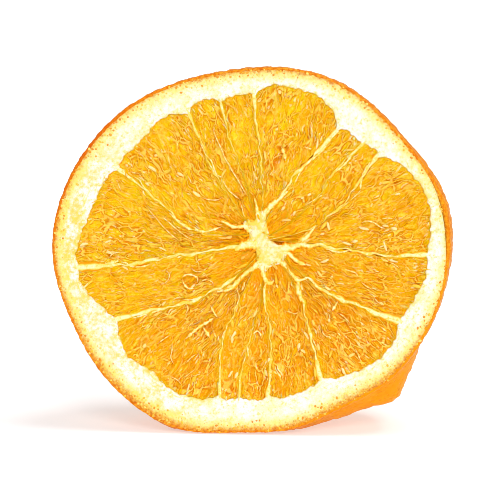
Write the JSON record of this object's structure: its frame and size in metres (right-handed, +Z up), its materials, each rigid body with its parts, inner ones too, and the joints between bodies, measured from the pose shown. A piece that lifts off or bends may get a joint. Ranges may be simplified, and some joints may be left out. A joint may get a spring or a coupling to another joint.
{
  "type": "orange half",
  "caption": "Half an orange resting on its side: cut face with sunken flesh between raised membranes, a pale star-shaped core, thick pith and rounded dimpled peel behind.",
  "frame": {"origin": "on the surface that it rests on, under the middle of its box", "axes": "+Z up, the cut face towards -Y, +X to the right of someone facing the cut face"},
  "size_m": [0.0756, 0.0336, 0.0688],
  "materials": {
    "peel": "waxy orange peel with fine pores",
    "pith": "dry spongy white pith",
    "flesh": "moist translucent orange flesh"
  },
  "bodies": {
    "root": {"orange_half": "peel"}
  },
  "joints": []
}
